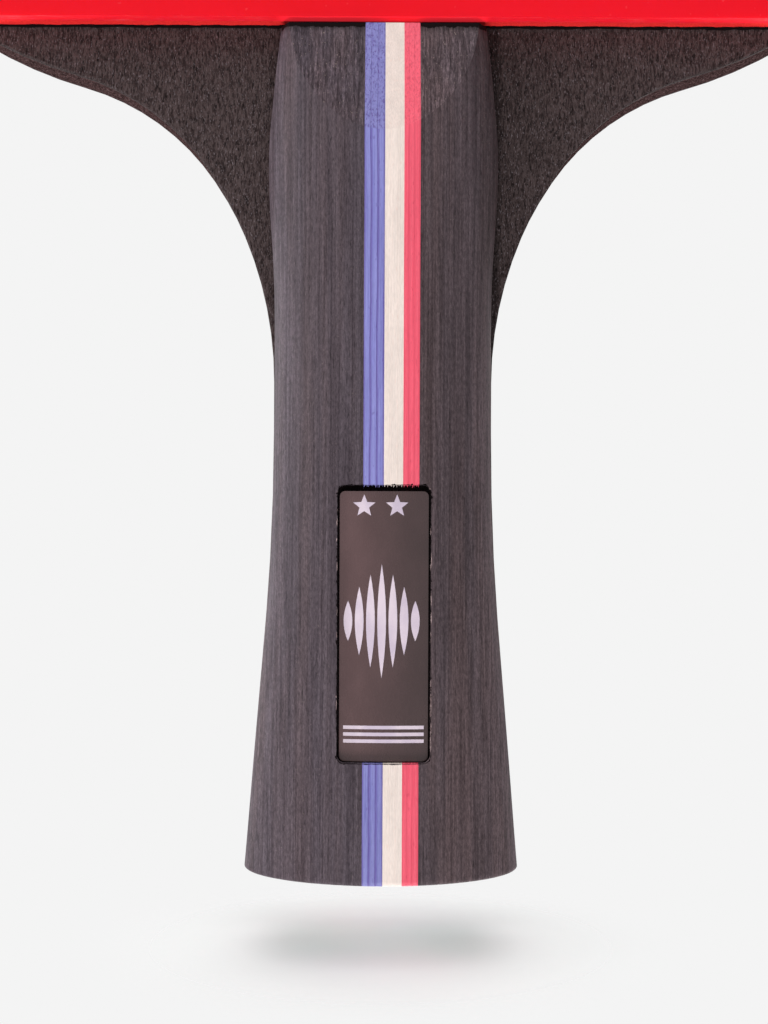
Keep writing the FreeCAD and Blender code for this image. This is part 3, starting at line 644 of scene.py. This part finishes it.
BLOCKS = {
    "front_grip_left_block": dict(
        dark=srgb(62, 54, 60), light=srgb(87, 78, 85),
        bevel_tone=1.27, flank_light=(2.0, 35.0, 1.05, 1.28), seed=11.0),
    "front_grip_right_block": dict(
        dark=srgb(66, 57, 61), light=srgb(95, 83, 88),
        bevel_tone=1.14, flank_light=(48.0, 85.0, 1.42, 0.70), seed=12.0),
    "back_grip_left_block": dict(
        dark=srgb(69, 60, 65), light=srgb(98, 86, 92),
        bevel_tone=1.14, flank_light=(2.0, 35.0, 1.0, 1.1), seed=13.0),
    "back_grip_right_block": dict(
        dark=srgb(69, 59, 64), light=srgb(98, 85, 90),
        bevel_tone=1.14, flank_light=(2.0, 35.0, 1.0, 1.1), seed=14.0),
}
VENEERS = {
    "blue": dict(
        base=srgb(142, 142, 205), deep=srgb(118, 118, 187), joint=srgb(86, 62, 142),
        joint_depth=0.70, torn_depth=0.75, foot=0.88),
    "white": dict(
        base=srgb(244, 229, 221), deep=srgb(242, 226, 217), joint=srgb(240, 208, 196),
        joint_depth=0.06, torn_depth=0.12, foot=0.95),
    "red": dict(
        base=srgb(255, 105, 127), deep=srgb(248, 88, 112), joint=srgb(205, 50, 78),
        joint_depth=0.32, torn_depth=0.50, foot=0.94),
}


def veneer_names(side, colour):
    """The three veneers of one colour in a grip, from left to right."""
    return [f"{side}_grip_{colour}_veneer_{number}" for number in (1, 2, 3)]


def reach_across(names):
    """Leftmost and rightmost x of these nodes together."""
    boxes = [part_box(name) for name in names]
    return min(low.x for low, high in boxes), max(high.x for low, high in boxes)


for name, look in BLOCKS.items():
    dress(name, grip_wood(name, **look))
for side_number, side in enumerate(("front", "back")):
    for colour_number, (colour, look) in enumerate(VENEERS.items()):
        members = veneer_names(side, colour)
        left = reach_across(members)[0] / MM
        low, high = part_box(members[0])
        thickness = (high.x - low.x) / MM
        seed = 20.0 + 5 * side_number + 2 * colour_number
        dyed = veneer_wood(f"{side}_{colour}_veneers", left, thickness, seed, **look)
        for member in members:
            dress(member, dyed)

red_rubber = rubber(
    "red_rubber", srgb(240, 11, 35), srgb(235, 8, 29),
    dust_and_highlight=srgb(252, 96, 102), seed=31.0, painted_glow=srgb(244, 44, 58))
black_rubber = rubber(
    "black_rubber", srgb(26, 25, 27), srgb(21, 20, 22),
    dust_and_highlight=srgb(70, 68, 70), seed=32.0)
dress("front_top_sheet", red_rubber)
dress("back_top_sheet", black_rubber)
dress("front_sponge", sponge_foam("red_sponge", srgb(250, 50, 46), srgb(232, 32, 40), seed=33.0))
dress("back_sponge", sponge_foam("back_sponge", srgb(236, 96, 58), srgb(214, 78, 46), seed=34.0))
dress("edge_tape", tape_fabric("edge_tape"))
dress("badge_plate", badge_plastic("badge"))


# ---------------------------------------------------------------- small pieces

def make_piece(name, mesh, material):
    """Adds a mesh as a piece of the object that rides on its only body."""
    data = bpy.data.meshes.new(name)
    bmesh.ops.recalc_face_normals(mesh, faces=mesh.faces)
    mesh.to_mesh(data)
    mesh.free()
    piece = bpy.data.objects.new(name, data)
    bpy.context.scene.collection.objects.link(piece)
    data.materials.append(material)
    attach(piece, "root")


badge_low, badge_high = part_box("badge_plate")
badge_middle = (badge_low.x + badge_high.x) / 2
CROWN_RADIUS = 40.0 * MM
PRINT_RISE = 0.03 * MM
PRINT_ROOT = 0.04 * MM


def on_badge(x, z, lift):
    """Point over the badge's crowned face."""
    drop = CROWN_RADIUS - math.sqrt(CROWN_RADIUS**2 - (x - badge_middle) ** 2)
    return Vector((x, badge_low.y + drop - lift, z))


def print_on_badge(mesh, rings):
    """Adds thin closed patches to the mesh. A ring is an outline of (x, z) in metres."""
    for ring in rings:
        top = [mesh.verts.new(on_badge(x, z, PRINT_RISE)) for x, z in ring]
        low = [mesh.verts.new(on_badge(x, z, -PRINT_ROOT)) for x, z in ring]
        mesh.faces.new(top)
        mesh.faces.new(low[::-1])
        for index in range(len(ring)):
            after = (index + 1) % len(ring)
            mesh.faces.new((top[index], low[index], low[after], top[after]))


STAR_WAIST = 0.43


def star(x, z, radius):
    """Outline of a plain five-pointed star."""
    ring = []
    for step in range(10):
        reach = radius * (1.0 if step % 2 == 0 else STAR_WAIST)
        angle = math.radians(90 + 36 * step)
        ring.append((x + reach * math.cos(angle), z + reach * math.sin(angle)))
    return ring


def lancet(x, z, half_width, half_length):
    """Outline of a slender leaf pointed at both ends."""
    ring = []
    steps = 10
    for side in (1, -1):
        for step in range(steps):
            share = step / steps * 2 - 1
            ring.append((x + side * half_width * (1 - share * share), z + side * half_length * share))
    return ring


def bar(left, right, z, half_height):
    """Outline of a straight bar, divided so that it follows the crown."""
    steps = 18
    xs = [left + (right - left) * step / steps for step in range(steps + 1)]
    return [(x, z - half_height) for x in xs] + [(x, z + half_height) for x in reversed(xs)]


STAR_DROP = 1.70 * MM
STAR_RADIUS = 1.34 * MM
STARS = {"left": -2.03 * MM, "right": 1.72 * MM}
ORNAMENT_DROP = 14.8 * MM
ORNAMENT_ASIDE = 0.25 * MM
LANCET_PITCH = 1.28 * MM
LANCET_HALF_WIDTH = 0.50 * MM
LANCET_HALF_LENGTHS = (6.5 * MM, 5.3 * MM, 3.9 * MM, 2.3 * MM)
LINE_RISE = 3.1 * MM
LINE_PITCH = 0.78 * MM
LINE_HALF_LENGTH = 4.6 * MM
LINE_HALF_HEIGHT = 0.20 * MM

foil = print_foil("badge_print")
for label, x in STARS.items():
    mesh = bmesh.new()
    print_on_badge(mesh, [star(x, badge_high.z - STAR_DROP, STAR_RADIUS)])
    make_piece(f"badge_star_{label}", mesh, foil)

lancets = []
for number, half_length in enumerate(LANCET_HALF_LENGTHS):
    for side in ((1,) if number == 0 else (-1, 1)):
        x = badge_middle - ORNAMENT_ASIDE + side * number * LANCET_PITCH
        lancets.append(lancet(x, badge_high.z - ORNAMENT_DROP, LANCET_HALF_WIDTH, half_length))
mesh = bmesh.new()
print_on_badge(mesh, lancets)
make_piece("badge_ornament", mesh, foil)

lines = []
for number in (-1, 0, 1):
    z = badge_low.z + LINE_RISE + number * LINE_PITCH
    lines.append(bar(badge_middle - LINE_HALF_LENGTH, badge_middle + LINE_HALF_LENGTH, z, LINE_HALF_HEIGHT))
mesh = bmesh.new()
print_on_badge(mesh, lines)
make_piece("badge_lines", mesh, foil)


def add_fibre(mesh, root, along, out, length, width):
    """Thin tapered fibre from root, with along its direction and out the way it faces."""
    side = along.cross(out).normalized() * width / 2
    lift = out.normalized() * width / 2
    ring = [mesh.verts.new(root + offset) for offset in (side, lift, -side, -lift)]
    tip = mesh.verts.new(root + along.normalized() * length)
    mesh.faces.new(ring)
    for index in range(4):
        mesh.faces.new((ring[index], tip, ring[(index + 1) % 4]))


def faces_of(names):
    """Search tree over the CAD faces of these nodes."""
    corners = []
    faces = []
    for name in names:
        node = nodes[name]
        start = len(corners)
        corners += [node.matrix_world @ vertex.co for vertex in node.data.vertices]
        faces += [[start + corner for corner in face.vertices] for face in node.data.polygons]
    return BVHTree.FromPolygons(corners, faces)


FORWARD = Vector((0, -1, 0))
front_grip = faces_of([name for name in nodes if name.startswith("front_grip_")])


def front_at(x, z):
    """How far forward the front grip's face lies at this place, or None beside the grip."""
    hit = front_grip.ray_cast(Vector((x, -0.05, z)), -FORWARD)[0]
    return None if hit is None else hit.y


def add_band(mesh, rows, closed):
    """Closed skin over rows of matching section points, joined end to end where closed."""
    rings = [[mesh.verts.new(point) for point in row] for row in rows]
    pairs = list(zip(rings, rings[1:]))
    if closed:
        pairs.append((rings[-1], rings[0]))
    else:
        mesh.faces.new(rings[0])
        mesh.faces.new(rings[-1][::-1])
    for first, second in pairs:
        for index in range(len(first)):
            after = (index + 1) % len(first)
            mesh.faces.new((first[index], first[after], second[after], second[index]))


FIBRE_COUNT = 8
FIBRE_WIDTH = 0.15 * MM


def fray(name, ends, edge, way, length, material, seed):
    """Torn fibres across the handle along an edge of the recess, pointing into it: way is 1 up or -1 down."""
    chance = random.Random(seed)
    mesh = bmesh.new()
    left, right = ends
    for index in range(FIBRE_COUNT):
        x = left + (right - left) * (index + chance.uniform(0.2, 0.8)) / FIBRE_COUNT
        face = front_at(x, edge - way * 0.12 * MM)
        root = Vector((x, face + chance.uniform(0.02, 0.30) * MM, edge - way * 0.06 * MM))
        along = Vector((chance.uniform(-0.25, 0.25), chance.uniform(-0.10, 0.25), way))
        add_fibre(mesh, root, along, FORWARD, length * chance.uniform(0.4, 1.0), FIBRE_WIDTH)
    make_piece(name, mesh, material)


RECESS_SIDE_GAP = 0.24 * MM
RECESS_CORNER = 0.84 * MM
CORNER_STEPS = 12
OUTLINE_STEP = 0.1 * MM
recess_top = badge_high.z + 0.68 * MM
recess_foot = badge_low.z - 0.15 * MM

for end, edge, way, length, first_seed in (
    ("top", recess_top, -1, 0.38 * MM, 40),
    ("foot", recess_foot, 1, 0.24 * MM, 50),
):
    for number, colour in enumerate(VENEERS):
        members = veneer_names("front", colour)
        dyed = nodes[members[0]].material_slots[0].material
        fray(f"recess_{end}_fibres_{colour}", reach_across(members), edge, way, length, dyed,
             first_seed + number)


def recess_outline():
    """Places round the recess's edge, about a step apart, each with its outward direction."""
    inset = RECESS_CORNER - RECESS_SIDE_GAP
    left, right = badge_low.x + inset, badge_high.x - inset
    low, high = recess_foot + RECESS_CORNER, recess_top - RECESS_CORNER
    turns = []
    for x, z, first in ((right, high, 0), (left, high, 90), (left, low, 180), (right, low, 270)):
        for step in range(CORNER_STEPS + 1):
            angle = math.radians(first + 90 * step / CORNER_STEPS)
            out = Vector((math.cos(angle), 0, math.sin(angle)))
            turns.append((Vector((x, 0, z)) + out * RECESS_CORNER, out))
    places = []
    for (place, out), (after, out_after) in zip(turns, turns[1:] + turns[:1]):
        count = max(1, round((after - place).length / OUTLINE_STEP))
        for step in range(count):
            places.append((place.lerp(after, step / count), out.lerp(out_after, step / count).normalized()))
    return places


def drift(value, aim, pull, step, chance):
    """Next value of an unsteady width: a step either way, and a share of the way back to its aim."""
    return value + chance.uniform(-step, step) + (aim - value) * pull


def make_glue_bed(places, chance):
    """Dark bed of glue round the badge, on the floor of its recess, also painted shade in the gap round the
    badge.
    """
    mesh = bmesh.new()
    rows = []
    rise = 0.4
    for place, out in places:
        rise = drift(rise, 0.42, 0.2, 0.04, chance)
        outer = place - out * 0.01 * MM
        inner = place - out * 0.95 * MM
        top = Vector((0, badge_high.y - rise * MM, 0))
        low = Vector((0, badge_high.y - 0.02 * MM, 0))
        rows.append([outer + top, inner + top, inner + low, outer + low])
    add_band(mesh, rows, True)
    make_piece("badge_glue_bed", mesh, glue_and_painted_shade("badge_bed"))


def make_charred_edge(places, chance):
    """Charred edge of the recess, darkened also as painted shade, with a chip here and there."""
    mesh = bmesh.new()
    rows = []
    width = 0.1
    chip = 0.0
    for place, out in places:
        width = drift(width, 0.04, 0.25, 0.03, chance)
        chip = max(0.0, chip - chance.uniform(0.02, 0.12))
        if chance.random() < 0.04:
            chip = chance.uniform(0.06, 0.18)
        outer = place + out * max(0.02, width + chip) * MM
        near = front_at(*(place + out * 0.01 * MM).xz)
        far = front_at(*outer.xz)
        rows.append([
            Vector((place.x, near - 0.02 * MM, place.z)), Vector((outer.x, far - 0.01 * MM, outer.z)),
            Vector((outer.x, far + 0.05 * MM, outer.z)), Vector((place.x, near + 0.30 * MM, place.z)),
        ])
    add_band(mesh, rows, True)
    make_piece("recess_charred_edge", mesh, glue_and_painted_shade("recess_edge"))


SLIVER_TRIES = 60


def make_raw_slivers(places, chance):
    """Slivers of raw wood along the recess's long sides, fewer of them on the left; they are also a painted
    highlight where the recess's right wall catches the light.
    """
    mesh = bmesh.new()
    for attempt in range(SLIVER_TRIES):
        start = chance.randrange(len(places))
        count = chance.randrange(3, 18)
        out = places[start][1]
        if abs(out.x) < 0.9 or (out.x < 0 and chance.random() < 0.7):
            continue
        rows = []
        aside = chance.uniform(0.0, 0.10) * MM
        for step in range(count + 1):
            place, out = places[(start + step) % len(places)]
            half = 0.045 * MM * math.sin(math.pi * (step + 0.3) / (count + 0.6))
            middle = place + out * (aside + chance.uniform(-0.015, 0.015) * MM)
            face = front_at(*(place + out * 0.12 * MM).xz) - 0.035 * MM
            first, last = middle - out * half, middle + out * half
            rows.append([
                Vector((first.x, face, first.z)), Vector((last.x, face, last.z)),
                Vector((last.x, face + 0.08 * MM, last.z)), Vector((first.x, face + 0.08 * MM, first.z)),
            ])
        add_band(mesh, rows, False)
    make_piece("recess_raw_slivers", mesh, raw_wood("recess_slivers"))


recess_places = recess_outline()
recess_chance = random.Random(71)
make_glue_bed(recess_places, recess_chance)
make_charred_edge(recess_places, recess_chance)
make_raw_slivers(recess_places, recess_chance)


END_GLUE_REACH = 13.0 * MM
END_GLUE_WIDTH = 0.58


def make_end_glue_and_shade(seed):
    """Ragged dark glue and painted shade under the rubber, along the upper end of the wooden blocks, clear of
    the veneers.
    """
    chance = random.Random(seed)
    rearmost = blade_face - 0.3 * MM
    stripe = (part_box("front_grip_blue_veneer_1")[0].x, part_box("front_grip_red_veneer_3")[1].x)
    mesh = bmesh.new()
    for first, last in ((-END_GLUE_REACH, stripe[0]), (stripe[1], END_GLUE_REACH)):
        rows = []
        width = END_GLUE_WIDTH
        steps = round((last - first) / (0.07 * MM))
        for step in range(steps + 1):
            x = first + (last - first) * step / steps
            width = drift(width, END_GLUE_WIDTH, 0.2, 0.07, chance)
            top, foot = grip_top - 0.02 * MM, grip_top - width * MM
            upper, lower = front_at(x, grip_top - 0.04 * MM), front_at(x, foot)
            if upper is None or lower is None or max(upper, lower) > rearmost:
                continue
            rows.append([
                Vector((x, upper - 0.03 * MM, top)), Vector((x, lower - 0.012 * MM, foot)),
                Vector((x, lower + 0.05 * MM, foot)), Vector((x, upper + 0.05 * MM, top)),
            ])
        add_band(mesh, rows, False)
    make_piece("grip_end_glue_and_shade", mesh, glue_and_painted_shade("end_glue"))


make_end_glue_and_shade(64)


SHADOW_LINE_DROP = 0.15
SHADOW_LINE_REACH = 0.60


def make_shadow_line(side, seed):
    """Ragged dark line of painted shadow in the corner between the sponge's lower edge and the blade."""
    sponge = nodes[f"{side}_sponge"]
    low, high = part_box(f"{side}_sponge")
    ends = [vertex.co.x for vertex in sponge.data.vertices if vertex.co.z < low.z + 0.01 * MM]
    face = high.y if side == "front" else low.y
    out = -1 if side == "front" else 1
    chance = random.Random(seed)
    mesh = bmesh.new()
    rows = []
    steps = 420
    drop, reach = SHADOW_LINE_DROP, SHADOW_LINE_REACH
    for step in range(steps + 1):
        x = min(ends) + (max(ends) - min(ends)) * step / steps
        drop = drift(drop, SHADOW_LINE_DROP, 0.25, 0.05, chance)
        reach = drift(reach, SHADOW_LINE_REACH, 0.25, 0.08, chance)
        section = (
            (0.02, 0.02), (reach, 0.02), (reach - 0.03, -0.05), (0.10, -0.09), (0.04, -drop),
            (-0.03, -drop - 0.02), (-0.03, 0.02),
        )
        rows.append([Vector((x, face + out * y * MM, low.z + z * MM)) for y, z in section])
    add_band(mesh, rows, False)
    make_piece(f"{side}_shadow_line", mesh, glue_and_painted_shade(f"{side}_glue"))


make_shadow_line("front", 61)
make_shadow_line("back", 62)


def soften(name, width):
    """Rounds a node's sharp edges a little."""
    bevel = nodes[name].modifiers.new("soft_edges", "BEVEL")
    bevel.width = width
    bevel.segments = 2
    bevel.limit_method = "ANGLE"
    bevel.angle_limit = math.radians(50)
    bevel.harden_normals = True


soften("front_top_sheet", 0.14 * MM)
soften("back_top_sheet", 0.14 * MM)
soften("badge_plate", 0.12 * MM)
soften("edge_tape", 0.10 * MM)

for name in nodes:
    if "veneer" in name:
        even = nodes[name].modifiers.new("even_shading", "WEIGHTED_NORMAL")
        even.keep_sharp = True
